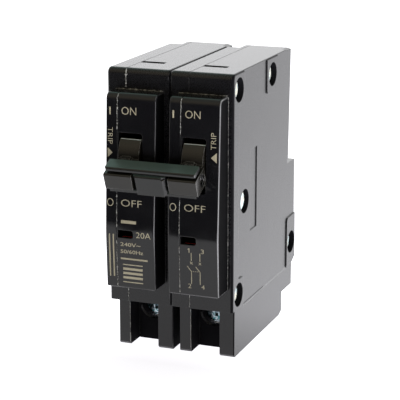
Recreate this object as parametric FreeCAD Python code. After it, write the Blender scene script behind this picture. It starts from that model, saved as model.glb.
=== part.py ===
"""Two-pole plug-on miniature circuit breaker with tied handles.

Row frame: X runs across the poles, the handles face -Y and +Z is up.
The model is drawn in case coordinates: X from the left side, Y from the front
face of the body towards the back, Z from the foot.  ROW_SHIFT moves it at the
end so that the origin is the middle of the foot.  Millimetres throughout.
"""
import FreeCAD
import Part
import math
import os
from FreeCAD import Vector

# ---- driving dimensions -------------------------------------------------
PITCH = 19.05              # one pole space, three quarters of an inch
POLE_WIDTH = 18.95
SEAM = 5.9                 # cover on the left of it, base on the right
SEAM_GAP = 0.16
WALL = 1.4
TOP = 82.5
BAND_BOTTOM = 14.0         # lower edge of the front band, above the terminals
UPPER_BACK = 51.0          # back face behind the line jaws
LOWER_BACK = 57.5          # back face below the step
BACK_STEP = 46.8
TERMINAL_FRONT = 1.7
TERMINAL_BACK = 45.0
HOOK_LEVEL = 6.9           # underside of the rail hook
HOOK_BACK = 54.5

NOSE_LEFT = 2.4
NOSE_RIGHT = 17.4
NOSE_TOP = 76.5
NOSE_BOTTOM = 20.3
NOSE_ROOT = 2.6            # the nose reaches this far into the body
NOSE_TOP_FRONT = -6.05
NOSE_CREST = -7.95
NOSE_LOW_FRONT = -7.3
CREST_Z = 36.5

OPENING_LEFT = 6.3
OPENING_RIGHT = 13.5
OPENING_TOP = 65.5
OPENING_BOTTOM = 50.0
WINDOW_LEFT = 6.1
WINDOW_RIGHT = 10.9
WINDOW_BOTTOM = 35.3
WINDOW_TOP = 37.6

SLOT_LEFT = 5.5
SLOT_RIGHT = 14.4
SLOT_BACK = 8.5            # front of the plate with the screwdriver hole
PLATE_THICKNESS = 1.2
WIRE_ROOM_TOP = 17.2
SCREW_X = 10.1
SCREW_Z = 10.6
TONGUE_LEFT = 7.7
TONGUE_RIGHT = 12.4
SCREW_PITCH = 0.8

TOGGLE_PIVOT = (0.2, 58.2)
DRUM_RADIUS = 8.65
TOGGLE_LEFT = 6.8
TOGGLE_RIGHT = 13.1
GRIP_ANGLE = 22.0          # the grips point this far below level when off
GRIP_LEFT = 5.7
GRIP_RIGHT = 14.0
HANDLE_ORIGIN = (2.0, 57.2)
GRIP_FRONT = 17.5
GRIP_BACK = 10.6
WEB_TOP = 5.4              # top of the tie's front face, above the handle line
TIE_PIN = (12.9, 2.75)     # along and above the handle line
TIE_PIN_RADIUS = 1.6

ARM_PIVOT = (14.0, 52.0)
ARM_OPEN_ANGLE = 12.0
ARM_LEFT = 7.7
ARM_RIGHT = 11.7
MIDDLE_X = 9.7

TRIP_PIVOT = (16.5, 43.5)
TOGGLE_PIN_RADIUS = 1.3
ARM_PIN_RADIUS = 1.4
TRIP_PIN_RADIUS = 1.2
BAR_CENTRE = (28.5, 23.5)
BAR_RADIUS = 1.4
ARMATURE_PIVOT = (34.4, 49.0)
CALIBRATION_Z = 30.0

RIVETS = [(4.7, 77.6), (33.7, 77.3), (10.6, 44.4), (5.0, 18.1), (53.4, 20.9)]
RIVET_RADIUS = 1.5
COUNTERBORE_RADIUS = 3.45
RIVET_HEAD_RADIUS = 3.2
RIVET_HEAD_HEIGHT = 1.2
COUNTERBORE_DEPTH = 2.6
RELIEF = 0.35              # depth of the shallow field on the outer side
PANEL_DEPTH = 0.6          # depth of the plain panel, from the same surface
NOTCH_FRONT = 45.9         # step in the left side behind the toggle room
NOTCH_WIDTH = 4.3
FIT = 0.05                 # running clearance on the radius

POLES = (("left", 0.0), ("right", PITCH))
PINS = {
    "toggle_pin": (TOGGLE_PIVOT, TOGGLE_PIN_RADIUS),
    "arm_pin": (ARM_PIVOT, ARM_PIN_RADIUS),
    "trip_lever_pin": (TRIP_PIVOT, TRIP_PIN_RADIUS),
    "armature_pin": (ARMATURE_PIVOT, 0.6),
}


# ---- small builders -----------------------------------------------------
def box(x0, x1, y0, y1, z0, z1):
    return Part.makeBox(x1 - x0, y1 - y0, z1 - z0, Vector(x0, y0, z0))


def rod_x(centre, radius, x0, x1):
    base = Vector(x0, centre[0], centre[1])
    return Part.makeCylinder(radius, x1 - x0, base, Vector(1, 0, 0))


def rod_y(x, z, radius, y0, y1):
    return Part.makeCylinder(radius, y1 - y0, Vector(x, y0, z), Vector(0, 1, 0))


def prism_x(points, x0, x1):
    """Side outline of (y, z) points, extruded from x0 to x1."""
    corners = [Vector(x0, y, z) for y, z in points]
    wire = Part.makePolygon(corners + corners[:1])
    return Part.Face(wire).extrude(Vector(x1 - x0, 0, 0))


def prism_y(points, y0, y1):
    """Front outline of (x, z) points, extruded from y0 to y1."""
    corners = [Vector(x, y0, z) for x, z in points]
    wire = Part.makePolygon(corners + corners[:1])
    return Part.Face(wire).extrude(Vector(0, y1 - y0, 0))


def prism_z(points, z0, z1):
    """Plan outline of (x, y) points, extruded from z0 to z1."""
    corners = [Vector(x, y, z0) for x, y in points]
    wire = Part.makePolygon(corners + corners[:1])
    return Part.Face(wire).extrude(Vector(0, 0, z1 - z0))


def tidy(shape):
    return shape.removeSplitter()


def rounded(shape, radius, wanted):
    """Fillet the edges whose middle point passes the test."""
    edges = [e for e in shape.Edges if wanted(e.valueAt((e.FirstParameter + e.LastParameter) / 2), e)]
    return shape.makeFillet(radius, edges)


def chamfered(shape, size, wanted):
    edges = [e for e in shape.Edges if wanted(e.valueAt((e.FirstParameter + e.LastParameter) / 2), e)]
    return shape.makeChamfer(size, edges)


def turn_x(shape, centre, degrees):
    turned = shape.copy()
    turned.rotate(Vector(0, centre[0], centre[1]), Vector(1, 0, 0), degrees)
    return turned


# ---- case ---------------------------------------------------------------
def body_outline(inset):
    """Side outline of the body without the nose, drawn in by the inset."""
    i = inset
    return [
        (i, BAND_BOTTOM + i),
        (i, TOP - i),
        (UPPER_BACK + 0.8 - i, TOP - i),
        (UPPER_BACK - 0.5 - i, 48.3 - i),
        (UPPER_BACK - 1.3 - i, 48.3 - i),
        (UPPER_BACK - 1.3 - i, BACK_STEP - i),
        (LOWER_BACK - 0.6 - i, BACK_STEP - i),
        (LOWER_BACK - i, 15.4 + i),
        (LOWER_BACK - 2.8 - i, BAND_BOTTOM + i),
    ]


def rounded_wire(points, radii):
    """Closed outline whose corners are tangent arcs; a radius of 0 keeps a corner sharp."""
    edges = []
    count = len(points)
    ends = []
    for i in range(count):
        here = points[i]
        first = points[i - 1] - here
        second = points[(i + 1) % count] - here
        first.normalize()
        second.normalize()
        half = first.getAngle(second) / 2
        reach = radii[i] / math.tan(half)
        into = here + first * reach
        out = here + second * reach
        ends.append((into, out))
        if radii[i] > 0:
            middle = first + second
            middle.normalize()
            nearest = here + middle * (radii[i] / math.sin(half) - radii[i])
            edges.append(Part.Arc(into, nearest, out).toShape())
    for i in range(count):
        edges.append(Part.LineSegment(ends[i - 1][1], ends[i][0]).toShape())
    return Part.Wire(Part.__sortEdges__(edges))


def nose_wire(inset):
    """Side outline of the nose at x = 0: flat faces that meet in a soft crest."""
    i = inset
    points = [
        Vector(0, NOSE_ROOT, NOSE_TOP - i), Vector(0, NOSE_TOP_FRONT + i, NOSE_TOP - i),
        Vector(0, NOSE_CREST + i, CREST_Z), Vector(0, NOSE_LOW_FRONT + i, NOSE_BOTTOM + i),
        Vector(0, NOSE_ROOT, NOSE_BOTTOM + i),
    ]
    return rounded_wire(points, [0, 1.9, 75.0, 0.7, 0])


def nose_solid(inset):
    face = Part.Face(nose_wire(inset))
    face.translate(Vector(NOSE_LEFT + inset, 0, 0))
    nose = face.extrude(Vector(NOSE_RIGHT - NOSE_LEFT - 2 * inset, 0, 0))
    if inset > 0:
        return nose

    def right_edge(p, e):
        return abs(p.x - NOSE_RIGHT) < 0.01 and p.y < -2

    def left_edge(p, e):
        return abs(p.x - NOSE_LEFT) < 0.01 and p.y < -2

    return rounded(rounded(nose, 0.6, right_edge), 0.35, left_edge)


def body_solid():
    """Body with a rounded top front edge and rounded front corners."""
    block = prism_x(body_outline(0), 0, POLE_WIDTH)

    def top_front(p, e):
        return p.y < 0.01 and abs(p.z - TOP) < 0.01

    def left_top(p, e):
        return p.x < 0.01 and abs(p.z - TOP) < 0.01

    def corners(p, e):
        sides = p.x < 0.01 or p.x > POLE_WIDTH - 0.01
        return left_top(p, e) or (sides and p.y < 1.9 and p.z > BAND_BOTTOM + 0.1)

    block = rounded(block, 1.7, top_front)
    block = rounded(block, 0.8, corners)

    def back_top(p, e):
        return abs(p.z - TOP) < 0.01 and p.y > UPPER_BACK - 1

    block = rounded(block, 0.5, back_top)
    notch = box(-1, NOTCH_WIDTH, NOTCH_FRONT, UPPER_BACK + 2, 56.0, TOP + 1)
    sloped_corner = prism_y([(17.3, TOP), (POLE_WIDTH + 0.2, TOP - 0.6), (POLE_WIDTH + 0.2, TOP + 0.2),
                             (17.3, TOP + 0.2)], 47.0, UPPER_BACK + 2)
    return block.cut(notch).cut(sloped_corner)


def terminal_solid():
    """Walls round the wire terminal, below the front band."""
    outline = [
        (TERMINAL_FRONT, BAND_BOTTOM + 0.5), (TERMINAL_FRONT, 0.7), (TERMINAL_FRONT + 0.7, 0),
        (TERMINAL_BACK - 2.4, 0), (TERMINAL_BACK, 0.9), (TERMINAL_BACK, HOOK_LEVEL),
        (HOOK_BACK, HOOK_LEVEL), (HOOK_BACK + 0.2, BAND_BOTTOM + 0.5),
    ]
    block = prism_x(outline, 2.05, POLE_WIDTH - 0.1)

    def front_corners(p, e):
        return p.y < TERMINAL_FRONT + 0.01 and 1 < p.z < 14

    return rounded(block, 0.35, front_corners)


def cavity_solid():
    """Room inside the case, less the bosses round the rivets."""
    room = prism_x(body_outline(WALL), WALL, POLE_WIDTH - WALL)
    room = room.cut(box(0, NOTCH_WIDTH + WALL, NOTCH_FRONT - WALL, 60, 54.6, TOP))
    room = room.cut(box(0, 30, 0, 28.6, 0, WIRE_ROOM_TOP + 1.1))
    room = room.fuse(nose_solid(WALL + 0.1))
    wire_room = box(SLOT_LEFT, SLOT_RIGHT, SLOT_BACK + PLATE_THICKNESS, 27.3, -1, WIRE_ROOM_TOP)
    slot_room = box(SLOT_LEFT, SLOT_RIGHT, -3, SLOT_BACK, -1, BAND_BOTTOM)
    foot_room = box(3.5, 17.3, 28.7, TERMINAL_BACK - WALL, WALL, BAND_BOTTOM + 2)
    return room.fuse(wire_room).fuse(slot_room).fuse(foot_room)


def bosses():
    """Tubes round the rivets, wide at the outer ends for the counterbores."""
    solids = []
    for centre in RIVETS:
        solids.append(rod_x(centre, 2.6, 0.5, POLE_WIDTH - 0.5))
        solids.append(rod_x(centre, 4.0, 0.5, 4.0))
        solids.append(rod_x(centre, 4.0, POLE_WIDTH - 4.0, POLE_WIDTH - 0.5))
    clipped = [s.common(prism_x(body_outline(0.3), 0, POLE_WIDTH)) for s in solids]
    return clipped


def pin_supports(pole):
    """Bosses that carry the ends of the pivot pins and of the trip bar."""
    solids = []
    for centre in (TOGGLE_PIVOT, ARM_PIVOT, TRIP_PIVOT, ARMATURE_PIVOT):
        solids.append(rod_x(centre, 2.4, WALL - 0.2, 4.6))
        solids.append(rod_x(centre, 2.4, 14.9, POLE_WIDTH - WALL + 0.2))
    if pole == "left":
        solids.append(rod_x(BAR_CENTRE, 2.6, WALL - 0.2, 4.6))
    else:
        solids.append(rod_x(BAR_CENTRE, 2.6, 14.9, POLE_WIDTH - WALL + 0.2))
    return solids


def pin_holes(pole):
    ends = (WALL + 0.4, POLE_WIDTH - WALL - 0.4)
    holes = [rod_x(centre, radius, ends[0], ends[1]) for centre, radius in PINS.values()]
    if pole == "left":
        holes.append(rod_x(BAR_CENTRE, BAR_RADIUS + FIT, ends[0], 6))
    else:
        holes.append(rod_x(BAR_CENTRE, BAR_RADIUS + FIT, 14, ends[1]))
    return holes


def openings():
    """Everything cut through the walls: toggle, window, screw, stab and bar."""
    cuts = []
    toggle = box(OPENING_LEFT, OPENING_RIGHT, -9, -2.5, OPENING_BOTTOM, OPENING_TOP)

    def right_corners(p, e):
        return abs(p.x - OPENING_RIGHT) < 0.01 and (p.z > OPENING_TOP - 0.01 or p.z < OPENING_BOTTOM + 0.01)

    cuts.append(rounded(toggle, 0.9, right_corners))
    window = box(WINDOW_LEFT, WINDOW_RIGHT, -9, -5, WINDOW_BOTTOM, WINDOW_TOP)

    def window_corners(p, e):
        return abs(p.x - WINDOW_RIGHT) < 0.01 and (p.z > WINDOW_TOP - 0.01 or p.z < WINDOW_BOTTOM + 0.01)

    cuts.append(rounded(window, 0.8, window_corners))
    cuts.append(rod_y(SCREW_X, SCREW_Z, 4.1, SLOT_BACK - 1, SLOT_BACK + PLATE_THICKNESS + 1))
    cuts.append(box(TONGUE_LEFT - 0.1, TONGUE_RIGHT + 0.1, 24.7, 26.0, WIRE_ROOM_TOP - 1, WIRE_ROOM_TOP + 2))
    cuts.append(box(8.0, 11.4, 47.0, UPPER_BACK + 2, 59.5, 74.5))
    cuts.append(rod_y(MIDDLE_X, 30.0, 1.6, LOWER_BACK - 4, LOWER_BACK + 1))
    cuts.append(box(SEAM - SEAM_GAP, 13.1, 10.2, 12.6, TOP - WALL - 1, TOP + 1))
    for centre in RIVETS:
        cuts.append(rod_x(centre, RIVET_RADIUS + FIT, -1, POLE_WIDTH + 1))
    return cuts


def side_details(pole):
    """Counterbores on the outer sides and the hole that the trip bar passes."""
    cuts = []
    outer_left = pole == "left"
    for centre in RIVETS:
        if outer_left:
            cuts.append(rod_x(centre, COUNTERBORE_RADIUS, -1, COUNTERBORE_DEPTH))
        else:
            cuts.append(rod_x(centre, COUNTERBORE_RADIUS, POLE_WIDTH - COUNTERBORE_DEPTH, POLE_WIDTH + 1))
    inner = (POLE_WIDTH - WALL - 1, POLE_WIDTH + 1) if outer_left else (-1, WALL + 1)
    cuts.append(rod_x(BAR_CENTRE, 3.2, inner[0], inner[1]))
    return cuts


def side_relief():
    """Shallow field that leaves a front strip and pads round the rivets, and a plain panel."""
    outline = [
        (4.6, 22.6, 0.9), (4.6, 72.8, 0.9), (9.2, 72.8, 0.9), (9.2, TOP + 1, 0), (28.8, TOP + 1, 0),
        (28.8, 72.2, 1.2), (38.6, 71.2, 1.2), (38.6, TOP + 1, 0), (60, TOP + 1, 0), (60, 29.6, 0),
        (49.4, 29.2, 1.2), (49.4, 13.8, 0), (9.3, 13.8, 0), (9.3, 22.6, 0.9),
    ]
    points = [Vector(POLE_WIDTH - RELIEF, y, z) for y, z, radius in outline]
    field = Part.Face(rounded_wire(points, [radius for y, z, radius in outline]))
    panel = box(POLE_WIDTH - PANEL_DEPTH, POLE_WIDTH + 1, 15.3, 21.0, 34.4, 58.4)
    low_edge = prism_y([(POLE_WIDTH - RELIEF, 13.8), (POLE_WIDTH + 1, 13.8), (POLE_WIDTH + 1, 13.2),
                        (POLE_WIDTH - 0.1, 13.2)], 9.3, 49.4)
    return field.extrude(Vector(2, 0, 0)).fuse(panel).fuse(low_edge)


def case_parts(pole):
    outer = body_solid().fuse(nose_solid(0)).fuse(terminal_solid())
    room = cavity_solid()
    for solid in bosses() + pin_supports(pole):
        room = room.cut(solid)
    shell = outer.cut(room)
    for cut in openings() + side_details(pole) + pin_holes(pole):
        shell = shell.cut(cut)
    if pole == "right":
        shell = shell.cut(side_relief())
    far = 200.0
    left_half = box(-5, SEAM - SEAM_GAP, -far, far, -far, far)
    right_half = box(SEAM, 30, -far, far, -far, far)
    tongue = box(SEAM - SEAM_GAP, SEAM, -far, far, -far, far)
    inner = prism_x(body_outline(0.45), 0, POLE_WIDTH).fuse(nose_solid(0.45))
    cover = tidy(shell.common(left_half))
    base = tidy(shell.common(right_half).fuse(shell.common(tongue).common(inner)))
    return {"case_cover": cover, "case_base": base}


# ---- handle -------------------------------------------------------------
def grip_point(along, above):
    """Case (y, z) of a point given along and above the handle line."""
    angle = math.radians(GRIP_ANGLE)
    y = HANDLE_ORIGIN[0] - along * math.cos(angle) - above * math.sin(angle)
    z = HANDLE_ORIGIN[1] - along * math.sin(angle) + above * math.cos(angle)
    return (y, z)


def grip_block(s0, s1, t0, t1, x0, x1):
    corners = [grip_point(s0, t0), grip_point(s1, t0), grip_point(s1, t1), grip_point(s0, t1)]
    return prism_x(corners, x0, x1)


def drum_sector(radius, low, high, x0, x1):
    """Slice of a drum between two angles above the line that points to the front."""
    centre = TOGGLE_PIVOT
    points = [centre]
    steps = max(1, int((high - low) / 40))
    for step in range(steps + 1):
        angle = math.radians(low + (high - low) * step / steps)
        reach = 2 * DRUM_RADIUS
        points.append((centre[0] - reach * math.cos(angle), centre[1] + reach * math.sin(angle)))
    return prism_x(points, x0, x1).common(rod_x(centre, radius, x0, x1))


def toggle():
    drum = drum_sector(DRUM_RADIUS, -95.0, 42.5, TOGGLE_LEFT, TOGGLE_RIGHT)
    rim = (TOGGLE_PIVOT[0] - DRUM_RADIUS * math.cos(math.radians(42.5)),
           TOGGLE_PIVOT[1] + DRUM_RADIUS * math.sin(math.radians(42.5)))

    def top_rim(p, e):
        return math.hypot(p.y - rim[0], p.z - rim[1]) < 0.05

    drum = rounded(drum, 0.6, top_rim)
    hub = rod_x(TOGGLE_PIVOT, 3.0, TOGGLE_LEFT, TOGGLE_RIGHT)
    neck = grip_block(6.0, GRIP_BACK + 1, 0.95, 5.2, TOGGLE_LEFT, TOGGLE_RIGHT)
    grip = grip_block(GRIP_BACK, GRIP_FRONT, 0.3, 5.35, GRIP_LEFT, GRIP_RIGHT)
    front_y = grip_point(GRIP_FRONT, 0)[0]

    def front_edges(p, e):
        flat = abs(p.x - (GRIP_LEFT + GRIP_RIGHT) / 2) < 0.01
        return flat and p.y < front_y + 3.0

    grip = rounded(grip, 0.55, front_edges)
    step = grip_block(8.4, 11.2, 5.1, 5.5, 7.5, 11.3)
    upper_step = grip_block(8.4, 10.0, 5.1, 5.8, 8.1, 10.7)
    shape = drum.fuse(hub).fuse(neck).fuse(grip).fuse(step).fuse(upper_step)
    shape = shape.cut(rod_x(TOGGLE_PIVOT, TOGGLE_PIN_RADIUS + FIT, 0, 20))
    shape = shape.cut(rod_x(grip_point(*TIE_PIN), TIE_PIN_RADIUS, 0, 20))
    for end in (GRIP_LEFT - 1, GRIP_RIGHT - 0.5):
        shape = shape.cut(rod_x(grip_point(*TIE_PIN), TIE_PIN_RADIUS + 0.35, end, end + 1.5))
    return tidy(shape)


def handle_tie():
    """Bridge that rides over both grips, so that they move together."""
    left = GRIP_RIGHT + 0.35
    right = PITCH + GRIP_LEFT - 0.9
    ends = (GRIP_LEFT + 0.35, PITCH + GRIP_RIGHT - 0.35)
    top = grip_block(12.3, 16.7, 6.0, 7.05, ends[0], ends[1])
    lip = grip_block(12.3, 16.9, -0.65, 0.2, ends[0] + 0.5, ends[1] - 0.5)
    web = grip_block(11.0, GRIP_FRONT, -0.65, WEB_TOP, left, right)
    shoulder = grip_block(12.3, 16.3, 5.0, 6.3, left, right)
    front_y = grip_point(16.7, 7.05)[0]

    def top_corners(p, e):
        front_top = abs(p.y - front_y) < 0.01 and e.Length > 10
        return front_top or ((p.x < ends[0] + 0.01 or p.x > ends[1] - 0.01) and e.Length < 1.5)

    top = rounded(top, 0.6, top_corners)

    def web_corners(p, e):
        sides = p.x < left + 0.01 or p.x > right - 0.01
        return sides and e.Length > 6.0 and p.z < grip_point(14, 1)[1]

    web_front = grip_point(GRIP_FRONT, WEB_TOP)

    def web_rim(p, e):
        return math.hypot(p.y - web_front[0], p.z - web_front[1]) < 0.01

    web = rounded(chamfered(web, 0.8, web_corners), 0.5, web_rim)
    notch_at = grip_point(GRIP_FRONT, 5.3)
    notch = Part.makeSphere(0.85, Vector(right - 0.25, notch_at[0], notch_at[1]))
    shape = top.fuse(lip).fuse(web).fuse(shoulder)
    shape = shape.cut(rod_x(grip_point(*TIE_PIN), TIE_PIN_RADIUS, 0, 40))
    return tidy(shape.cut(notch))


def tie_pin():
    """Pin through grips and tie, with a dished end on each side."""
    centre = grip_point(*TIE_PIN)
    ends = (GRIP_LEFT + 0.25, PITCH + GRIP_RIGHT - 0.25)
    pin = rod_x(centre, TIE_PIN_RADIUS, ends[0], ends[1])
    for end in ends:
        pin = pin.cut(rod_x(centre, TIE_PIN_RADIUS - 0.4, end - 0.7, end + 0.7))
    return pin


# ---- current path -------------------------------------------------------
def contact_arm():
    """Copper arm, drawn closed and then turned open about its pivot."""
    bar = prism_x([
        (11.6, 53.4), (24.8, 63.4), (24.8, 69.4), (26.6, 69.4), (26.6, 62.4), (16.2, 50.4),
    ], ARM_LEFT, ARM_RIGHT)
    arm = bar.fuse(rod_x(ARM_PIVOT, 2.8, ARM_LEFT, ARM_RIGHT))
    arm = arm.cut(rod_x(ARM_PIVOT, ARM_PIN_RADIUS + FIT, 0, 20))
    return turn_x(tidy(arm), ARM_PIVOT, ARM_OPEN_ANGLE)


def moving_contact():
    button = rod_y(MIDDLE_X, 66.5, 2.1, 26.6, 28.2)
    return turn_x(button, ARM_PIVOT, ARM_OPEN_ANGLE)


def fixed_contact():
    return rod_y(MIDDLE_X, 66.5, 2.4, 28.35, 29.9)


def line_jaw():
    """Contact carrier and a pair of spring leaves that grip the bus stab."""
    left = 7.2
    right = 2 * MIDDLE_X - left
    carrier = box(left, right, 29.9, 31.3, 61.5, 69.5)
    bridge = box(left, right, 31.3, 38.0, 61.5, 62.9)
    back = box(left, right, 38.0, 39.2, 60.0, 74.0)
    leaf = [(7.2, 39.0), (8.2, 39.0), (9.3, 44.8), (9.3, 45.9), (8.1, 48.6), (7.0, 48.6),
            (8.2, 45.7), (8.2, 44.9)]
    mirrored = [(2 * MIDDLE_X - x, y) for x, y in leaf]
    shape = carrier.fuse(bridge).fuse(back)
    for outline in (leaf, mirrored):
        shape = shape.fuse(prism_z(outline, 60.0, 74.0))
    return tidy(shape)


def load_terminal():
    """Tongue in the wire cage, floor strip and the leg with the calibration thread."""
    tongue = box(TONGUE_LEFT, TONGUE_RIGHT, 24.8, 25.9, 3.6, 18.6)
    floor = box(TONGUE_LEFT, TONGUE_RIGHT, 24.8, 44.8, 18.5, 19.7)
    leg = box(TONGUE_LEFT, TONGUE_RIGHT, 43.6, 44.8, 19.6, 32.8)
    hole = rod_y(MIDDLE_X, CALIBRATION_Z, 1.2 + FIT, 43, 45)
    return tidy(tongue.fuse(floor).fuse(leg).cut(hole))


def terminal_cage():
    outer = box(6.3, 13.9, 16.5, 27.0, 4.6, 16.4)
    channel = box(7.5, 12.7, 19.1, 26.0, 0, 20)
    hole = rod_y(SCREW_X, SCREW_Z, 2.0 + FIT, 16, 20)
    return outer.cut(channel).cut(hole)


def terminal_screw():
    """Binding-head screw with a cross recess and a slot."""
    head = rod_y(SCREW_X, SCREW_Z, 3.6, 10.8, 13.2)

    def front_rim(p, e):
        return p.y < 10.81

    head = rounded(head, 0.6, front_rim)
    shank = rod_y(SCREW_X, SCREW_Z, 2.0, 13.2, 19.2)
    slot = box(SCREW_X - 4, SCREW_X + 4, 10.7, 11.7, SCREW_Z - 0.45, SCREW_Z + 0.45)
    cross = box(SCREW_X - 0.45, SCREW_X + 0.45, 10.7, 12.2, SCREW_Z - 1.9, SCREW_Z + 1.9)
    return tidy(head.fuse(shank).cut(slot).cut(cross))


def pressure_saddle():
    return box(7.7, 12.5, 19.3, 20.2, 6.2, 15.0)


# ---- trip unit ----------------------------------------------------------
def bimetal():
    return box(7.5, 11.9, 40.0, 41.2, 19.7, 46.0)


def magnet_yoke():
    back = box(5.6, 13.8, 42.0, 43.2, 33.6, 44.0)
    sides = [box(x, x + 1.2, 36.4, 42.1, 33.6, 44.0) for x in (5.6, 12.6)]
    return tidy(back.fuse(sides[0]).fuse(sides[1]))


def armature():
    plate = box(6.0, 13.4, 33.2, 34.4, 29.0, 48.4)
    window = box(8.4, 11.0, 33.0, 35.0, 38.4, 41.8)
    eye = rod_x(ARMATURE_PIVOT, 1.5, 6.0, 13.4)
    return tidy(plate.cut(window).fuse(eye).cut(rod_x(ARMATURE_PIVOT, 0.6 + FIT, 0, 20)))


def trip_lever():
    """Latched lever whose tip waits in front of the armature's window."""
    plate = prism_x([
        (16.5, 45.9), (24.0, 44.2), (32.6, 40.9), (32.6, 39.4), (31.0, 39.2), (24.0, 41.2),
        (16.5, 41.1),
    ], 8.9, 10.5)
    shape = plate.fuse(rod_x(TRIP_PIVOT, 2.4, 8.9, 10.5))
    return tidy(shape.cut(rod_x(TRIP_PIVOT, TRIP_PIN_RADIUS + FIT, 0, 20)))


def trip_bar():
    """Bar through both poles with one finger in each, so that both trip together."""
    bar = rod_x(BAR_CENTRE, BAR_RADIUS, WALL + 0.8, PITCH + POLE_WIDTH - WALL - 0.8)
    for name, offset in POLES:
        finger = prism_x([(27.5, 23.5), (29.3, 31.5), (30.5, 31.5), (29.6, 23.5)], 8.9, 10.5)
        finger.translate(Vector(offset, 0, 0))
        bar = bar.fuse(finger)
    return tidy(bar)


def trip_flag():
    plate = box(6.5, 12.3, -5.45, -4.75, 31.2, WINDOW_BOTTOM - 0.3)
    stem = box(8.6, 10.8, -4.8, 3.6, 31.2, 32.4)
    foot = box(8.6, 10.8, 2.6, 3.6, 26.0, 31.3)
    return tidy(plate.fuse(stem).fuse(foot))


def calibration_screw():
    shank = rod_y(MIDDLE_X, CALIBRATION_Z, 1.2, 41.3, 50.0)
    head = rod_y(MIDDLE_X, CALIBRATION_Z, 1.9, 49.9, 51.6)
    slot = box(0, 20, 51.0, 52, CALIBRATION_Z - 0.25, CALIBRATION_Z + 0.25)
    return tidy(shank.fuse(head).cut(slot))


def main_spring():
    """Envelope of the over-centre tension spring."""
    outer = Part.makeCylinder(1.1, 11.0, Vector(13.3, 21.0, 45.4), Vector(0, 0, 1))
    inner = Part.makeCylinder(0.6, 12.0, Vector(13.3, 21.0, 45.0), Vector(0, 0, 1))
    return outer.cut(inner)


def arc_plates():
    plates = [box(5.2, 14.2, y, y + 1.0, 73.0, 80.4) for y in (17.2, 19.6, 22.0, 24.4, 26.8)]
    notch = prism_y([(8.5, 72), (10.9, 72), (9.9, 76.4), (9.5, 76.4)], 16, 29)
    return Part.makeCompound([plate.cut(notch) for plate in plates])


def route_wire(points):
    """Straight runs joined by tangent arcs as large as the runs allow."""
    edges = []
    start = points[0]
    for before, here, after in zip(points, points[1:], points[2:]):
        first = before - here
        second = after - here
        reach = 0.45 * min(first.Length, second.Length)
        first.normalize()
        second.normalize()
        half_turn = (math.pi - first.getAngle(second)) / 2
        radius = reach / math.tan(half_turn)
        into = here + first * reach
        out = here + second * reach
        middle = (first + second)
        middle.normalize()
        centre = here + middle * math.hypot(radius, reach)
        edges.append(Part.LineSegment(start, into).toShape())
        edges.append(Part.Arc(into, centre - middle * radius, out).toShape())
        start = out
    edges.append(Part.LineSegment(start, points[-1]).toShape())
    return Part.Wire(edges)


def braid():
    """Flexible copper braid from the contact arm to the top of the bimetal."""
    route = [(20.9, 54.2), (22.6, 51.2), (26.6, 50.6), (30.6, 52.2), (34.8, 54.2), (38.8, 53.2),
             (40.6, 49.8), (40.6, 46.1)]
    points = [Vector(MIDDLE_X, y, z) for y, z in route]
    path = route_wire(points)
    start = points[1] - points[0]
    circle = Part.Wire(Part.makeCircle(0.9, points[0], start))
    return path.makePipeShell([circle], True, False, 1)


# ---- fasteners ----------------------------------------------------------
def case_rivets():
    """Semi-tubular rivets that clamp the four shells: a rolled end left, a low domed head right."""
    rivets = []
    left = COUNTERBORE_DEPTH
    right = PITCH + POLE_WIDTH - COUNTERBORE_DEPTH
    for centre in RIVETS:
        shape = rod_x(centre, RIVET_RADIUS, left - 0.5, right + 0.5)
        for start, rim in ((left - RIVET_HEAD_HEIGHT, left - RIVET_HEAD_HEIGHT),
                           (right, right + RIVET_HEAD_HEIGHT)):
            head = rod_x(centre, RIVET_HEAD_RADIUS, start, start + RIVET_HEAD_HEIGHT)

            def outer_rim(p, e, rim=rim):
                return abs(p.x - rim) < 0.01

            shape = shape.fuse(rounded(head, 0.95, outer_rim))
        shape = shape.cut(rod_x(centre, 0.9, left - 2.0, left + 3.5))
        rivets.append(tidy(shape))
    return Part.makeCompound(rivets)


# ---- output -------------------------------------------------------------
def pole_parts(pole):
    parts = case_parts(pole)
    for name, (centre, radius) in PINS.items():
        parts[name] = rod_x(centre, radius, WALL + 0.45, POLE_WIDTH - WALL - 0.45)
    makers = (toggle, contact_arm, moving_contact, fixed_contact, line_jaw, load_terminal,
              terminal_cage, terminal_screw, pressure_saddle, bimetal, magnet_yoke, armature,
              trip_lever, trip_flag, calibration_screw, main_spring, arc_plates, braid)
    for maker in makers:
        parts[maker.__name__] = maker()
    return parts


def row_shift():
    """From case coordinates to the row frame: the middle of the foot is the origin."""
    furthest_front = grip_point(GRIP_FRONT, WEB_TOP)[0]
    return Vector(-(PITCH + POLE_WIDTH) / 2, -(furthest_front + LOWER_BACK) / 2, 0)


def all_parts():
    parts = {}
    for pole, offset in POLES:
        for name, shape in pole_parts(pole).items():
            shape.translate(Vector(offset, 0, 0))
            parts[pole + "_" + name] = shape
    for maker in (handle_tie, tie_pin, trip_bar, case_rivets):
        parts[maker.__name__] = maker()
    for shape in parts.values():
        shape.translate(row_shift())
    return parts


def main():
    os.makedirs("parts", exist_ok=True)
    for name, shape in all_parts().items():
        shape.exportStep("parts/" + name + ".step")


if __name__ == "__main__":
    main()
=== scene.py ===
"""Looks of a two-pole plug-on circuit breaker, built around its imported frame."""
import bmesh
import bpy
import math
import random
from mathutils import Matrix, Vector
from mathutils.bvhtree import BVHTree


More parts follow.
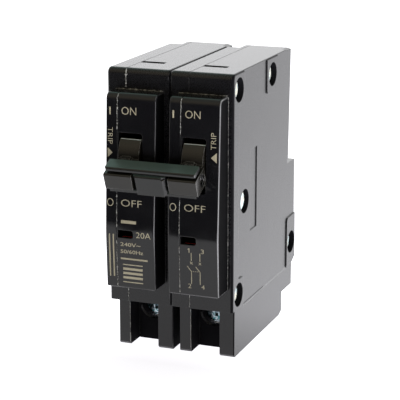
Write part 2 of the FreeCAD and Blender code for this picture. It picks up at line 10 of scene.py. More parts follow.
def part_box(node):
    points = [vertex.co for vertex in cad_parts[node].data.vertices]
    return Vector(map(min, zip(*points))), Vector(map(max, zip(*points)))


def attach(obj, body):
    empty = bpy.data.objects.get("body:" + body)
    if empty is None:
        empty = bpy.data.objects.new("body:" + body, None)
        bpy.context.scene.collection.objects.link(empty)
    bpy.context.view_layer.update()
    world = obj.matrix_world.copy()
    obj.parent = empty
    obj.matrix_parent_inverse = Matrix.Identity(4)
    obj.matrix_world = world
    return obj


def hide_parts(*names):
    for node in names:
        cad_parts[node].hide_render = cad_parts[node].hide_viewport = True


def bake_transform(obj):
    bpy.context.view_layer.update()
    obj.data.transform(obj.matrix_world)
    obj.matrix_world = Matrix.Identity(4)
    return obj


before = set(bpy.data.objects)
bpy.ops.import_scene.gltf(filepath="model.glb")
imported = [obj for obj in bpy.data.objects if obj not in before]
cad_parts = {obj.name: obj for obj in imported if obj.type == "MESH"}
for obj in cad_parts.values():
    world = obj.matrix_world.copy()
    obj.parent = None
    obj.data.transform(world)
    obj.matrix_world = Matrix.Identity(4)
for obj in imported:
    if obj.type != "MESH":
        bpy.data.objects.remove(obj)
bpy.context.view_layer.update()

# ---- where things are: case millimetres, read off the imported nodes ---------
MM = 0.001
DEPTH = 57.5               # body depth of the case, front face to back face
POLES = ("left", "right")
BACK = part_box("left_case_base")[1].y
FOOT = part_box("left_case_base")[0].z
LEFT = {pole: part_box(pole + "_case_cover")[0].x for pole in POLES}


def depth(y):
    """Row-frame Y of a place y mm behind the body's front face."""
    return BACK + (y - DEPTH) * MM


def height(z):
    """Row-frame Z of a place z mm above the foot."""
    return FOOT + z * MM


def at(pole, x, y, z):
    """Row-frame point for case coordinates in mm of one pole."""
    return Vector((LEFT[pole] + x * MM, depth(y), height(z)))


# ---- camera ----------------------------------------------------------------
AZIMUTH = math.radians(21.106)
ELEVATION = math.radians(14.596)
DISTANCE = 0.46033
LOOK_AT = Vector((0.000773, 0.000933, 0.040364))
FOCAL_LENGTH = 139.82      # mm on a 36 mm wide sensor


def make_camera():
    back = Vector((
        math.sin(AZIMUTH) * math.cos(ELEVATION),
        -math.cos(AZIMUTH) * math.cos(ELEVATION),
        math.sin(ELEVATION),
    ))
    data = bpy.data.cameras.new("camera")
    data.sensor_width = 36.0
    data.lens = FOCAL_LENGTH
    data.clip_start = 0.01
    data.clip_end = 20.0
    camera = bpy.data.objects.new("camera", data)
    bpy.context.scene.collection.objects.link(camera)
    camera.location = LOOK_AT + back * DISTANCE
    camera.rotation_mode = "QUATERNION"
    camera.rotation_quaternion = (-back).to_track_quat("-Z", "Y")
    bpy.context.scene.camera = camera


make_camera()
bpy.context.scene.view_settings.view_transform = "Standard"


# ---- node helpers ----------------------------------------------------------
class Graph:
    """Shader nodes of one tree; a value that is a socket is linked."""

    def __init__(self, tree):
        self.tree = tree

    def add(self, kind, inputs=None, **settings):
        node = self.tree.nodes.new(kind)
        for key, value in settings.items():
            setattr(node, key, value)
        for key, value in (inputs or {}).items():
            self.set(node, key, value)
        return node

    def set(self, node, key, value):
        if isinstance(value, bpy.types.NodeSocket):
            self.tree.links.new(value, node.inputs[key])
        else:
            node.inputs[key].default_value = value

    def noise(self, where, millimetres, detail=3.0, roughness=0.55):
        node = self.add("ShaderNodeTexNoise", {
            "Vector": where, "Scale": 1 / (millimetres * MM), "Detail": detail, "Roughness": roughness,
        })
        return node.outputs["Fac"]

    def spread(self, value, low, high, to_low=0.0, to_high=1.0):
        """Value taken from one range to another, and held at its ends."""
        node = self.add("ShaderNodeMapRange", {
            "Value": value, "From Min": low, "From Max": high, "To Min": to_low, "To Max": to_high,
        })
        return node.outputs["Result"]

    def rise(self, value, low, high):
        """0 up to low, 1 from high."""
        return self.spread(value, low, high)

    def fall(self, value, low, high):
        """1 up to low, 0 from high."""
        return self.spread(value, low, high, 1.0, 0.0)

    def math(self, operation, first, second=0.5):
        node = self.add("ShaderNodeMath", {0: first, 1: second}, operation=operation)
        return node.outputs[0]

    def times(self, first, *others):
        for other in others:
            first = self.math("MULTIPLY", first, other)
        return first

    def most(self, first, *others):
        for other in others:
            first = self.math("MAXIMUM", first, other)
        return first

    def mix(self, share, first, second):
        """Colour between two colours."""
        node = self.add("ShaderNodeMix", {"Factor": share}, data_type="RGBA")
        self.set(node, 6, first)
        self.set(node, 7, second)
        return node.outputs[2]

    def between(self, share, first, second):
        """Value between two values."""
        node = self.add("ShaderNodeMix", {"Factor": share}, data_type="FLOAT")
        self.set(node, 2, first)
        self.set(node, 3, second)
        return node.outputs[0]

    def vector(self, operation, first, second):
        node = self.add("ShaderNodeVectorMath", {0: first, 1: second}, operation=operation)
        return node.outputs["Value" if operation in ("DOT_PRODUCT", "DISTANCE") else "Vector"]

    def axis(self, where, letter):
        return self.add("ShaderNodeSeparateXYZ", {0: where}).outputs[letter]

    def facing(self):
        return self.add("ShaderNodeNewGeometry").outputs["Normal"]

    def bump(self, strength, millimetres, relief, normal):
        node = self.add("ShaderNodeBump", {
            "Strength": strength, "Distance": millimetres * MM, "Height": relief, "Normal": normal,
        })
        return node.outputs["Normal"]


def rgb(red, green, blue):
    return (red, green, blue, 1.0)


def new_material(name):
    material = bpy.data.materials.new(name)
    material.use_nodes = True
    graph = Graph(material.node_tree)
    shader = material.node_tree.nodes["Principled BSDF"]
    where = graph.add("ShaderNodeTexCoord").outputs["Object"]
    return material, graph, shader, where


def edge_share(graph, radius):
    """Normal that rounds every edge, and a 0 to 1 mask of those edges."""
    rounded = graph.add("ShaderNodeBevel", {"Radius": radius * MM}, samples=6).outputs[0]
    along = graph.vector("DOT_PRODUCT", rounded, graph.facing())
    return rounded, graph.spread(along, 0.995, 0.8)


# ---- finishes of the case, as masks from 0 to 1 ----------------------------
POLISHED = (depth(-5.2), depth(-4.6))          # the nose's face is polished up to here
NOSE_END = (depth(-0.15), depth(-0.1))         # the nose ends just before the body's front
POCKET_LEFT = (-16.9 * MM, -16.8 * MM)         # just inside the left outer face of the foot
POCKET_RIGHT = (18.6 * MM, 18.8 * MM)          # just inside the right one
POCKET_MIDDLE = depth(15.0)
POCKET_REACH = (12.6 * MM, 12.9 * MM)          # from its middle, forwards and backwards
POCKET_TOP = (height(13.9), height(14.0))
RIVETS = ((4.7, 77.6), (33.7, 77.3), (10.6, 44.4), (5.0, 18.1), (53.4, 20.9))    # depth, height
RIVET_BORE = 3.5


def nose_only(graph, where):
    return graph.fall(graph.axis(where, "Y"), *NOSE_END)


def sideways(graph):
    """1 on faces that look left or right, 0 on faces that look forwards, back, up or down."""
    return graph.math("ABSOLUTE", graph.axis(graph.facing(), "X"))


def eroded_shaded_nose_sides(graph, where):
    """The sides of the noses, which are dull from the mould's spark erosion, and which are painted darker as
    shade.
    """
    return graph.times(graph.rise(sideways(graph), 0.975, 0.995), nose_only(graph, where))


def painted_nose_edge_highlight(graph, where):
    """Painted highlight on the side and lower edges of the noses, strongest on the right pole; the left
    pole's edges lie in the right nose's shade.
    """
    downward = graph.times(graph.axis(graph.facing(), "Z"), -1.0)
    turned = graph.most(downward, sideways(graph))
    arris = graph.times(graph.rise(turned, 0.5, 0.72), graph.fall(turned, 0.85, 0.97))
    # painted highlight kept faint on the left pole, which lies in shade
    pole_share = graph.spread(graph.axis(where, "X"), -2 * MM, 2 * MM, 0.08, 0.85)
    return graph.times(arris, nose_only(graph, where), pole_share)


def right_upper_turn(graph, rounded):
    """Above 0 where an edge turns from the right side to the top."""
    return graph.times(graph.axis(rounded, "X"), graph.axis(rounded, "Z"))


def painted_step_highlight(graph, where, rounded):
    """Painted highlight on the ridge along the right side, at the top of the terminal part."""
    low = graph.fall(graph.axis(where, "Z"), height(14.0), height(14.1))
    return graph.times(graph.rise(right_upper_turn(graph, rounded), 0.1, 0.3), low)


def terminal_pockets(graph, where):
    """The pockets that the wires and the screwdriver enter."""
    across, along, up = [graph.axis(where, letter) for letter in "XYZ"]
    reach = graph.math("ABSOLUTE", graph.math("SUBTRACT", along, POCKET_MIDDLE))
    inside = graph.times(graph.rise(across, *POCKET_LEFT), graph.fall(across, *POCKET_RIGHT))
    return graph.times(inside, graph.fall(reach, *POCKET_REACH), graph.fall(up, *POCKET_TOP))


def rivet_bores(graph, where):
    """The counterbores that hold the rivets' ends."""
    outline = graph.vector("MULTIPLY", where, (0, 1, 1))
    bores = []
    for y, z in RIVETS:
        away = graph.vector("DISTANCE", outline, (0, depth(y), height(z)))
        bores.append(graph.fall(away, RIVET_BORE * MM, (RIVET_BORE + 0.05) * MM))
    return graph.most(*bores)


def shineless_edges(graph, where, rounded):
    """The rounded edges where the body's right side meets its top and its front."""
    high = graph.rise(graph.axis(where, "Z"), height(81.6), height(81.9))
    top = graph.times(graph.rise(right_upper_turn(graph, rounded), 0.2, 0.45), high)
    right = graph.rise(graph.axis(where, "X"), 17.9 * MM, 18.1 * MM)
    front_turn = graph.times(graph.axis(rounded, "X"), graph.axis(rounded, "Y"))
    return graph.most(top, graph.times(graph.rise(front_turn, -0.1, -0.3), right))


def case_finish(graph, shader, where, rounded, mottle, shade, level):
    """Polished noses with dull sides that are painted darker as shade, dull pockets and bores, and painted
    highlights on the nose edges and the side's ridge.

    Takes and gives back colour and roughness, and gives the grain's strength too.
    """
    polished = graph.fall(graph.axis(where, "Y"), *POLISHED)
    level = graph.between(polished, level, graph.spread(mottle, 0.3, 0.7, 0.06, 0.11))
    strength = graph.spread(polished, 0.0, 1.0, GRAIN_STRENGTH, 0.12)
    sides = eroded_shaded_nose_sides(graph, where)
    # painted shade: the nose sides darkened towards black
    shade = graph.mix(graph.times(sides, 0.6), shade, rgb(0.001, 0.001, 0.001))
    # painted highlight: the nose edges and the side's ridge lightened to pale grey
    wear_and_highlight = graph.most(painted_nose_edge_highlight(graph, where), painted_step_highlight(graph, where, rounded))
    shade = graph.mix(wear_and_highlight, shade, rgb(0.15, 0.15, 0.155))
    eroded = graph.most(sides, terminal_pockets(graph, where), rivet_bores(graph, where))
    dull = graph.most(eroded, shineless_edges(graph, where, rounded))
    graph.set(shader, "Specular IOR Level", graph.spread(dull, 0.0, 1.0, 0.46, 0.02))
    return shade, graph.between(eroded, level, 0.75), strength


# ---- materials -------------------------------------------------------------
GRAIN_STRENGTH = 0.6


def plastic(name, dark, light, wear_and_highlight, rough, grain, relief, edge=0.16, patches=7.0, painted_sheen=None, finish=None):
    """Moulded plastic: mottled colour, fine grain in gloss and relief, edges lighter partly from wear and
    partly as a painted highlight, faint sinks.

    grain, relief, edge and patches are in mm. painted_sheen is the colour of a painted sheen and the height
    that it starts from, on faces that look up. finish changes the finish from place to place.
    """
    material, graph, shader, where = new_material(name)
    mottle = graph.noise(where, patches, 4.0)
    fine = graph.noise(where, grain, 4.0, 0.65)
    rounded, edges = edge_share(graph, edge)
    base = graph.mix(graph.rise(mottle, 0.35, 0.65), dark, light)
    # edges lightened, partly as wear and partly as a painted highlight
    wear_and_highlight_share = graph.times(edges, graph.spread(graph.noise(where, 1.2), 0.35, 0.6, 0.15, 0.75))
    shade = graph.mix(wear_and_highlight_share, base, wear_and_highlight)
    # painted sheen: upward faces above a height lightened towards the sheen's colour
    if painted_sheen is not None:
        sheen_colour, above = painted_sheen
        upward = graph.rise(graph.axis(graph.facing(), "Z"), 0.72, 0.93)
        tall = graph.rise(graph.axis(where, "Z"), above - 0.3 * MM, above)
        shade = graph.mix(graph.times(upward, tall), shade, sheen_colour)
    level = graph.spread(fine, 0.3, 0.7, rough - 0.05, rough + 0.05)
    strength = GRAIN_STRENGTH
    if finish is not None:
        shade, level, strength = finish(graph, shader, where, rounded, mottle, shade, level)
    graph.set(shader, "Base Color", shade)
    graph.set(shader, "Roughness", level)
    grained = graph.bump(strength, relief, fine, rounded)
    graph.set(shader, "Normal", graph.bump(1.0, 0.02, graph.noise(where, 9.0, 1.0), grained))
    shader.inputs["IOR"].default_value = 1.5
    return material


def metal(name, base, tint, rough, grain=0.35, brushed=(1, 1, 1), edge=0.1, drift_and_reflection_patches=2.2):
    """Plated or rolled metal: streaked gloss, a little colour drift (on the screws, patches of painted
    reflection), and edges lightened as a painted highlight.

    grain, edge and drift_and_reflection_patches are in mm; brushed squeezes the grain along each axis.
    """
    material, graph, shader, where = new_material(name)
    fine = graph.noise(graph.vector("MULTIPLY", where, brushed), grain, 4.0, 0.6)
    rounded, edges = edge_share(graph, edge)
    shade = graph.mix(graph.rise(graph.noise(where, drift_and_reflection_patches, 2.0), 0.42, 0.58), base, tint)
    # painted highlight: edges lightened towards pale grey
    graph.set(shader, "Base Color", graph.mix(graph.times(edges, 0.4), shade, rgb(0.9, 0.9, 0.9)))
    shader.inputs["Metallic"].default_value = 1.0
    graph.set(shader, "Roughness", graph.spread(fine, 0.3, 0.7, rough - 0.07, rough + 0.09))
    graph.set(shader, "Normal", graph.bump(0.5, 0.006, fine, rounded))
    return material


INK = rgb(0.29, 0.265, 0.185)
PLASTICS = {
    # edges a little lighter, partly as wear and partly as a painted highlight
    "case_plastic": dict(
        dark=rgb(0.005, 0.005, 0.006), light=rgb(0.0068, 0.0068, 0.0078), wear_and_highlight=rgb(0.034, 0.034, 0.034),
        rough=0.27, grain=0.22, relief=0.012, edge=0.22, finish=case_finish,
    ),
    # painted highlight: pale grey edges, and a pale sheen painted on the drum's top
    "toggle_plastic": dict(
        dark=rgb(0.007, 0.0062, 0.0046), light=rgb(0.0095, 0.0086, 0.0068), wear_and_highlight=rgb(0.26, 0.26, 0.25),
        rough=0.2, grain=0.25, relief=0.008, edge=0.2, painted_sheen=(rgb(0.8, 0.9, 0.92), height(63.5)),
    ),
    # painted sheen: faces that look up carry a teal-grey sheen
    "tie_plastic": dict(
        dark=rgb(0.0048, 0.0052, 0.0052), light=rgb(0.0066, 0.0072, 0.007), wear_and_highlight=rgb(0.04, 0.039, 0.034),
        rough=0.22, grain=0.25, relief=0.01, painted_sheen=(rgb(0.052, 0.078, 0.072), FOOT),
    ),
    "bar_plastic": dict(
        dark=rgb(0.55, 0.5, 0.41), light=rgb(0.64, 0.6, 0.5), wear_and_highlight=rgb(0.7, 0.67, 0.6),
        rough=0.42, grain=0.25, relief=0.01,
    ),
    "flag_red": dict(
        dark=rgb(0.9, 0.02, 0.02), light=rgb(0.95, 0.03, 0.025), wear_and_highlight=rgb(0.9, 0.12, 0.1),
        rough=0.3, grain=0.25, relief=0.006, edge=0.05,
    ),
    "print_ink": dict(
        dark=INK, light=rgb(0.35, 0.32, 0.23), wear_and_highlight=INK,
        rough=0.55, grain=0.12, relief=0.003, edge=0.01,
    ),
    # pale grey beads: partly flash, partly a painted highlight along the seams
    "flash_plastic": dict(
        dark=rgb(0.05, 0.05, 0.048), light=rgb(0.5, 0.5, 0.47), wear_and_highlight=rgb(0.2, 0.2, 0.19),
        rough=0.4, grain=0.12, relief=0.01, edge=0.01, patches=0.7,
    ),
}
METALS = {
    "zinc_steel": dict(base=rgb(0.6, 0.62, 0.64), tint=rgb(0.66, 0.66, 0.6), rough=0.3),
    # painted reflection: dark teal with pale patches, standing in for the room mirrored in the screw heads
    "zinc_screw": dict(
        base=rgb(0.04, 0.15, 0.16), tint=rgb(0.5, 0.56, 0.62), rough=0.12, grain=0.8, drift_and_reflection_patches=0.7,
    ),
    "black_steel": dict(base=rgb(0.012, 0.012, 0.013), tint=rgb(0.02, 0.02, 0.022), rough=0.3),
    "rivet_steel": dict(base=rgb(0.98, 0.96, 0.84), tint=rgb(0.82, 0.96, 0.98), rough=0.58),
    "plain_steel": dict(base=rgb(0.42, 0.42, 0.43), tint=rgb(0.5, 0.49, 0.47), rough=0.36, brushed=(1, 6, 1)),
    "spring_steel": dict(base=rgb(0.45, 0.45, 0.46), tint=rgb(0.52, 0.52, 0.52), rough=0.24),
    "copper": dict(base=rgb(0.76, 0.38, 0.24), tint=rgb(0.66, 0.3, 0.19), rough=0.3, brushed=(1, 5, 1)),
    "copper_braid": dict(base=rgb(0.74, 0.37, 0.24), tint=rgb(0.58, 0.27, 0.17), rough=0.36),
    "brass": dict(base=rgb(0.78, 0.6, 0.28), tint=rgb(0.7, 0.52, 0.24), rough=0.28),
    "contact_silver": dict(base=rgb(0.8, 0.79, 0.76), tint=rgb(0.7, 0.69, 0.66), rough=0.34),
    "bimetal_strip": dict(
        base=rgb(0.6, 0.55, 0.47), tint=rgb(0.52, 0.49, 0.44), rough=0.3, brushed=(5, 5, 1),
    ),
}
LOOKS = {name: plastic(name, **recipe) for name, recipe in PLASTICS.items()}
LOOKS |= {name: metal(name, **recipe) for name, recipe in METALS.items()}
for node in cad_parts.values():
    name = node.data.materials[0].name.split(".")[0]
    node.data.materials[0] = LOOKS[name]


# ---- the case fronts as ray targets ----------------------------------------
def case_surface(pole):
    points, faces = [], []
    for shell in ("case_cover", "case_base"):
        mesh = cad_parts[pole + "_" + shell].data
        first = len(points)
        points += [vertex.co.copy() for vertex in mesh.vertices]
        faces += [[first + corner for corner in polygon.vertices] for polygon in mesh.polygons]
    return BVHTree.FromPolygons(points, faces)


SKIN = {pole: case_surface(pole) for pole in POLES}
WELL_BEFORE = -30          # mm, clear of everything on the front


def front_of(pole, x, z):
    """Case depth in mm of the first surface met from the front."""
    hit = SKIN[pole].ray_cast(at(pole, x, WELL_BEFORE, z), Vector((0, 1, 0)))[0]
    return DEPTH + (hit.y - BACK) / MM


def finish_piece(name, shape, look, body, smooth=False):
    """Turns a bmesh into an object, which rides a body unless body is None."""
    bmesh.ops.recalc_face_normals(shape, faces=shape.faces)
    mesh = bpy.data.meshes.new(name)
    shape.to_mesh(mesh)
    shape.free()
    mesh.materials.append(LOOKS[look])
    for polygon in mesh.polygons:
        polygon.use_smooth = smooth
    piece = bpy.data.objects.new(name, mesh)
    bpy.context.scene.collection.objects.link(piece)
    if body:
        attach(piece, body)
    return piece


# ---- printed marks ---------------------------------------------------------
INK_DEPTH = 0.025          # the ink stands this far before the case and sinks as far in, mm
BAR_STEP = 0.7             # a tall bar follows the curved nose in steps of this height, mm


class Print:
    """Marks in pole (x, z) millimetres that become one thin layer on the case front."""

    def __init__(self, pole):
        self.pole = pole
        self.shape = bmesh.new()

    def layer(self, points, faces):
        """Closed slab of ink from flat faces."""
        rings = []
        for lift in (-INK_DEPTH, INK_DEPTH):
            ring = []
            for x, z in points:
                y = front_of(self.pole, x, z) + lift
                ring.append(self.shape.verts.new(at(self.pole, x, y, z)))
            rings.append(ring)
        front, back = rings
        borders = {}
        for face in faces:
            self.shape.faces.new([front[i] for i in face])
            self.shape.faces.new([back[i] for i in reversed(face)])
            for a, b in zip(face, face[1:] + face[:1]):
                borders[(a, b)] = (b, a) not in borders
                if (b, a) in borders:
                    borders[(b, a)] = False
        for (a, b), outer in borders.items():
            if outer:
                self.shape.faces.new([front[b], front[a], back[a], back[b]])

    def patch(self, *points):
        self.layer(list(points), [list(range(len(points)))])

    def bar(self, x0, x1, z0, z1):
        steps = max(1, round((z1 - z0) / BAR_STEP))
        heights = [z0 + (z1 - z0) * i / steps for i in range(steps + 1)]
        points = [(x, z) for z in heights for x in (x0, x1)]
        self.layer(points, [[i, i + 1, i + 3, i + 2] for i in range(0, 2 * steps, 2)])

    def stroke(self, start, end, width=0.2):
        run = Vector(end) - Vector(start)
        side = Vector((-run.y, run.x)).normalized() * width / 2
        corners = (Vector(start) - side, Vector(end) - side, Vector(end) + side, Vector(start) + side)
        self.patch(*[tuple(corner) for corner in corners])

    def word(self, text, x0, x1, z0, z1, reads="across", weight=-0.01):
        """A word that fills the box; it can also read down or up. Weight thickens its strokes."""
        curve = bpy.data.curves.new("word", "FONT")
        curve.body = text
        curve.offset = weight
        curve.resolution_u = 3
        holder = bpy.data.objects.new("word", curve)
        bpy.context.scene.collection.objects.link(holder)
        mesh = bpy.data.meshes.new_from_object(holder.evaluated_get(bpy.context.evaluated_depsgraph_get()))
        flat = bmesh.new()
        flat.from_mesh(mesh)
        bmesh.ops.remove_doubles(flat, verts=flat.verts, dist=1e-5)
        bmesh.ops.dissolve_degenerate(flat, edges=flat.edges, dist=1e-5)
        flat.verts.index_update()
        us = [vertex.co.x for vertex in flat.verts]
        vs = [vertex.co.y for vertex in flat.verts]
        points = []
        for vertex in flat.verts:
            u = (vertex.co.x - min(us)) / (max(us) - min(us))
            v = (vertex.co.y - min(vs)) / (max(vs) - min(vs))
            if reads == "down":
                points.append((x0 + v * (x1 - x0), z1 - u * (z1 - z0)))
            elif reads == "up":
                points.append((x1 - v * (x1 - x0), z0 + u * (z1 - z0)))
            else:
                points.append((x0 + u * (x1 - x0), z0 + v * (z1 - z0)))
        self.layer(points, [[vertex.index for vertex in face.verts] for face in flat.faces])
        flat.free()
        bpy.data.objects.remove(holder)
        bpy.data.curves.remove(curve)
        bpy.data.meshes.remove(mesh)

    def done(self):
        return finish_piece(self.pole + "_print", self.shape, "print_ink", "case")


def switch_marks(marks, up):
    """On and off, which both poles carry; up shifts them, in mm."""
    marks.bar(3.4, 3.85, 70.35 + up, 72.5 + up)
    marks.word("ON", 7.15, 11.6, 70.55 + up, 72.7 + up)
    marks.word("O", 2.85, 4.85, 44.2 + up, 46.5 + up)
    marks.word("OFF", 7.2, 13.5, 44.5 + up, 46.5 + up)


def left_marks(marks):
    """Trip arrow, rating, and plain bars in place of names."""
    marks.word("TRIP", 3.0, 4.5, 62.0, 66.7, "down")
    marks.patch((3.0, 58.2), (4.5, 59.6), (3.0, 61.0))
    marks.word("20A", 11.8, 16.3, 35.7, 37.4, weight=0.0)
    marks.word("240V~", 6.95, 13.1, 32.9, 34.0, weight=0.012)
    marks.word("50/60Hz", 6.95, 13.9, 30.8, 31.9, weight=0.012)
    marks.bar(6.95, 15.2, 28.95, 29.45)
    marks.bar(7.55, 13.65, 27.3, 27.6)
    for middle in (26.2, 24.9, 23.6):
        marks.bar(7.6, 13.6, middle - 0.35, middle + 0.35)
    marks.bar(7.55, 13.65, 22.1, 22.4)
    marks.bar(7.2, 11.8, 39.6, 40.5)
    marks.bar(3.4, 3.8, 23.6, 36.2)
    marks.bar(4.6, 5.0, 23.6, 36.2)


def right_marks(marks):
    """Trip arrow and a plain diagram of two switched poles, numbered 1 to 4."""
    marks.word("TRIP", 14.8, 16.3, 62.7, 67.4, "up")
    marks.patch((16.6, 59.05), (16.6, 61.95), (14.9, 60.4))
    marks.stroke((8.8, 34.35), (8.8, 33.05), 0.18)
    marks.stroke((8.4, 34.0), (8.75, 34.3), 0.18)
    marks.word("3", 12.3, 13.2, 33.1, 34.4, weight=0.0)
    marks.word("2", 8.4, 9.3, 22.65, 23.95, weight=0.0)
    marks.word("4", 12.35, 13.3, 22.65, 23.95, weight=0.0)
    for x in (9.42, 12.0):
        marks.stroke((x, 33.1), (x, 30.75))
        marks.stroke((x - 0.36, 30.45), (x + 0.36, 29.75), 0.15)
        marks.stroke((x + 0.36, 30.45), (x - 0.36, 29.75), 0.15)
        marks.stroke((x - 1.25, 29.1), (x + 0.08, 27.5))
        marks.stroke((x, 27.65), (x, 23.95))
    for x in (9.85, 10.5, 11.15):
        marks.stroke((x, 27.7), (x + 0.35, 27.7), 0.15)


def print_marks():
    """Pad print on both noses."""
    for pole, up, own_marks in (("left", 0.0, left_marks), ("right", 0.35, right_marks)):
        marks = Print(pole)
        switch_marks(marks, up)
        own_marks(marks)
        marks.done()


# ---- moulding flash, partly painted highlight ------------------------------
def tube(shape, points, radii, sides=6):
    """Closed tube through the points, all in metres."""
    rings = []
    for i, point in enumerate(points):
        along = points[min(i + 1, len(points) - 1)] - points[max(i - 1, 0)]
        turn = along.to_track_quat("Z", "Y")
        ring = []
        for k in range(sides):
            angle = 2 * math.pi * k / sides
            offset = Vector((math.cos(angle), math.sin(angle), 0)) * radii[i]
            ring.append(shape.verts.new(point + turn @ offset))
        rings.append(ring)
    for low, high in zip(rings, rings[1:]):
        for k in range(sides):
            shape.faces.new([low[k], low[(k + 1) % sides], high[(k + 1) % sides], high[k]])
    shape.faces.new(rings[0])
    shape.faces.new(list(reversed(rings[-1])))


def flash(shape, chance, points, thin, thick):
    """Ragged bead that wanders a little, with radii in mm from thin to thick, mostly thin."""
    places, radii = [], []
    for point in points:
        radii.append((thin + (thick - thin) * chance.random() ** 1.5) * MM)
        shift = Vector([chance.uniform(-1, 1) for _ in range(3)]) * 0.35 * thick * MM
        places.append(point + shift)
    tube(shape, places, radii)


SEAM_X = 5.82                                  # joint of cover and base across a pole, mm
SEAM_RUNS = ((76.2, 66.2), (47.8, 38.2), (34.6, 20.6), (19.9, 14.2))     # between the windows
FLASH_STEP = 0.32
NOSE_FOOT = -0.03                              # case depth of the corner of nose and body, mm
FLASH_WEIGHT = {"left": 1.0, "right": 0.65}    # the left pole's beads are thicker


def seam_run(pole, top, bottom):
    """Points down the front along the joint of cover and base."""
    count = int((top - bottom) / FLASH_STEP)
    points = []
    for i in range(count + 1):
        z = top + (bottom - top) * i / count
        y = min(front_of(pole, SEAM_X - 0.4, z), front_of(pole, SEAM_X + 0.4, z))
        points.append(at(pole, SEAM_X, y + 0.02, z))
    return points


def flash_and_seam_highlight():
    """Pale flash on the seam of each pole and where each nose leaves the body, partly a painted highlight."""
    chance = random.Random(7)
    for pole, weight in FLASH_WEIGHT.items():
        shape = bmesh.new()
        if pole == "left":
            flash(shape, chance, seam_run(pole, 82.2, 77.0), 0.12, 0.4)
        for top, bottom in SEAM_RUNS:
            flash(shape, chance, seam_run(pole, top, bottom), 0.05 * weight, 0.24 * weight)
        terminal_wall = [at(pole, 5.5, 1.75, 13.2 - FLASH_STEP * i) for i in range(39)]
        flash(shape, chance, terminal_wall, 0.05, 0.11)
        over_nose = [at(pole, 2.7 + FLASH_STEP * i, NOSE_FOOT, 76.6) for i in range(46)]
        flash(shape, chance, over_nose, 0.02, 0.26 * weight)
        # the bead beside the nose, partly a painted highlight, is left off the left pole, which lies in shade
        # there
        if pole == "right":
            beside_nose = [at(pole, 17.45, NOSE_FOOT, 76.2 - 0.4 * i) for i in range(139)]
            flash(shape, chance, beside_nose, 0.01, 0.07)
        finish_piece(pole + "_flash_and_seam_highlight", shape, "flash_plastic", "case", True)


# ---- springs and braids ----------------------------------------------------
SPRING_X, SPRING_Y = 13.3, 21.0
SPRING_LOW, SPRING_HIGH = 46.6, 55.2
SPRING_TURNS = 17
COIL_RADIUS = 0.86
WIRE_RADIUS = 0.2
POINTS_A_TURN = 14


def coil(pole):
    """Points up the close coil of an over-centre spring."""
    points = []
    for i in range(SPRING_TURNS * POINTS_A_TURN + 1):
        share = i / (SPRING_TURNS * POINTS_A_TURN)
        angle = 2 * math.pi * SPRING_TURNS * share
        x = SPRING_X + COIL_RADIUS * math.cos(angle)
        y = SPRING_Y + COIL_RADIUS * math.sin(angle)
        points.append(at(pole, x, y, SPRING_LOW + (SPRING_HIGH - SPRING_LOW) * share))
    return points


def hook(pole, end, way):
    """Points round the loop that leaves a spring's end downwards (-1) or upwards (1)."""
    points = []
    for i in range(13):
        angle = math.pi * 1.7 * i / 12
        z = end + way * COIL_RADIUS * math.sin(angle) * 0.9
        points.append(at(pole, SPRING_X + COIL_RADIUS * math.cos(angle), SPRING_Y, z))
    return points


def spring_wire():
    """Wound wire with a loop at each end, in place of each spring's plain tube."""
    for pole in POLES:
        points = hook(pole, SPRING_LOW, -1)[::-1] + coil(pole) + hook(pole, SPRING_HIGH, 1)
        shape = bmesh.new()
        tube(shape, points, [WIRE_RADIUS * MM] * len(points), 7)
        piece = finish_piece(pole + "_spring_coil", shape, "spring_steel", None, smooth=True)
        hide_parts(pole + "_main_spring")
        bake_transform(piece)


BRAID_ROUTE = ((20.9, 54.2), (22.6, 51.4), (26.6, 50.7), (30.6, 52.1), (34.8, 53.9), (38.6, 52.6),
               (40.3, 49.6), (40.6, 46.1))     # depth and height, from contact arm to bimetal
BRAID_X = 9.7
STRANDS = 12
STRAND_RADIUS = 0.15
STRAND_REACH = 0.66        # from the braid's middle to a strand's, mm
STRAND_TWIST = 0.34        # radians from one point to the next


def smooth_route(pole, steps):
    """Curve through the braid's route, with so many points from knot to knot."""
    knots = [at(pole, BRAID_X, y, z) for y, z in BRAID_ROUTE]
    knots = [2 * knots[0] - knots[1]] + knots + [2 * knots[-1] - knots[-2]]
    points = []
    for i in range(1, len(knots) - 2):
        for step in range(steps):
            t = step / steps
            a, b, c, d = knots[i - 1:i + 3]
            points.append(0.5 * ((2 * b) + (c - a) * t + (2 * a - 5 * b + 4 * c - d) * t * t
                                 + (3 * b - a - 3 * c + d) * t * t * t))
    return points + [knots[-2]]


def strand_points(route, strand):
    """Points of one strand, which winds round the route and weaves in and out."""
    hand = 1 if strand % 2 else -1
    points = []
    for i, centre in enumerate(route):
        along = route[min(i + 1, len(route) - 1)] - route[max(i - 1, 0)]
        side = Vector((1, 0, 0))
        other = along.cross(side).normalized()
        angle = hand * i * STRAND_TWIST + strand * 2 * math.pi / STRANDS
        reach = (STRAND_REACH + 0.1 * math.sin(6 * angle + hand * math.pi / 2)) * MM
        points.append(centre + (side * math.cos(angle) + other * math.sin(angle)) * reach)
    return points


def braids():
    """Strands that cross over and under each other round each braid's route."""
    for pole in POLES:
        route = smooth_route(pole, 14)
        shape = bmesh.new()
        for strand in range(STRANDS):
            tube(shape, strand_points(route, strand), [STRAND_RADIUS * MM] * len(route))
        piece = finish_piece(pole + "_braid_strands", shape, "copper_braid", None, smooth=True)
        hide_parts(pole + "_braid")
        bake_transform(piece)


print_marks()
flash_and_seam_highlight()
spring_wire()
braids()


# ---- studio, in metres -----------------------------------------------------
def height_ramp(graph, way, stops):
    """Colour of a direction by its Z, from stops of (Z, colour)."""
    node = graph.add("ShaderNodeValToRGB", {"Fac": graph.rise(graph.axis(way, "Z"), -1.0, 1.0)})
    band = node.color_ramp
    while len(band.elements) < len(stops):
        band.elements.new(0.5)
    for element, (up, colour) in zip(band.elements, stops):
        element.position = up * 0.5 + 0.5
        element.color = rgb(*colour)
    return node.outputs["Color"]


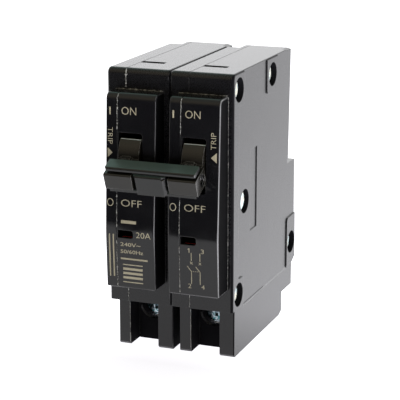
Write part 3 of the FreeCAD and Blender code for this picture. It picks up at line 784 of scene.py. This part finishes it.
def make_world():
    """Pale room, bright behind the part and dark before it; the camera sees it as plain white."""
    world = bpy.data.worlds.new("studio")
    bpy.context.scene.world = world
    world.use_nodes = True
    world.node_tree.nodes.clear()
    graph = Graph(world.node_tree)
    way = graph.add("ShaderNodeTexCoord").outputs["Generated"]
    behind = height_ramp(graph, way, [
        (-1.0, (0.66, 0.66, 0.67)), (0.42, (0.81, 0.81, 0.82)), (0.6, (0.36, 0.4, 0.39)),
        (0.74, (0.2, 0.3, 0.27)), (0.84, (0.2, 0.3, 0.27)), (0.9, (0.17, 0.17, 0.145)),
    ])
    before = height_ramp(graph, way, [
        (-0.2, (0.006, 0.006, 0.007)), (0.02, (0.012, 0.012, 0.013)), (0.2, (0.09, 0.078, 0.058)),
        (0.6, (0.22, 0.19, 0.14)), (0.78, (0.2, 0.19, 0.14)), (0.9, (0.17, 0.17, 0.145)),
    ])
    room = graph.mix(graph.rise(graph.axis(way, "Y"), -0.12, 0.3), before, behind)
    lit = graph.add("ShaderNodeBackground", {"Color": room, "Strength": 2.5})
    plain = graph.add("ShaderNodeBackground", {"Color": rgb(1, 1, 1), "Strength": 1.0})
    seen = graph.add("ShaderNodeLightPath").outputs["Is Camera Ray"]
    both = graph.add("ShaderNodeMixShader", {0: seen, 1: lit.outputs[0], 2: plain.outputs[0]})
    graph.add("ShaderNodeOutputWorld", {"Surface": both.outputs[0]})


def floor_material():
    """White table that glows: less before the part, more behind it and most at its right."""
    material, graph, shader, where = new_material("white_table")
    white = graph.mix(graph.noise(where, 300), rgb(0.4, 0.4, 0.4), rgb(0.42, 0.42, 0.42))
    graph.set(shader, "Base Color", white)
    shader.inputs["Roughness"].default_value = 0.9
    shader.inputs["Specular IOR Level"].default_value = 0.1
    shader.inputs["Emission Color"].default_value = rgb(0.96, 0.95, 1)
    along, across = graph.axis(where, "Y"), graph.axis(where, "X")
    right = graph.times(graph.rise(across, 0.06, 0.1), graph.spread(along, 0.0, 0.04, 5.0, 0.0))
    near = graph.spread(along, -0.03, 0.02, 0.85, 1.68)
    far = graph.spread(along, 0.04, 0.3, 0.0, 0.35)
    graph.set(shader, "Emission Strength", graph.math("ADD", right, graph.math("SUBTRACT", near, far)))
    return material


TABLE_END = 3.0
MIRRORED_FROM = [(-3.0, -0.8), (-0.12, -0.208), (-0.04, -0.16), (3.0, -0.16)]
BELOW_FOOT = 0.1 * MM      # so that the table and the part's foot don't share a plane


def make_floor():
    """Table in two parts that meet along a bent line; gloss mirrors only the far one."""
    surface = floor_material()
    for name, end in (("table", TABLE_END), ("table_front", -TABLE_END)):
        border = MIRRORED_FROM + [(TABLE_END, end), (-TABLE_END, end)]
        mesh = bpy.data.meshes.new(name)
        mesh.from_pydata([(x, y, FOOT - BELOW_FOOT) for x, y in border], [], [range(len(border))])
        mesh.materials.append(surface)
        table = bpy.data.objects.new(name, mesh)
        bpy.context.scene.collection.objects.link(table)
        table.visible_glossy = name == "table"


make_world()
make_floor()
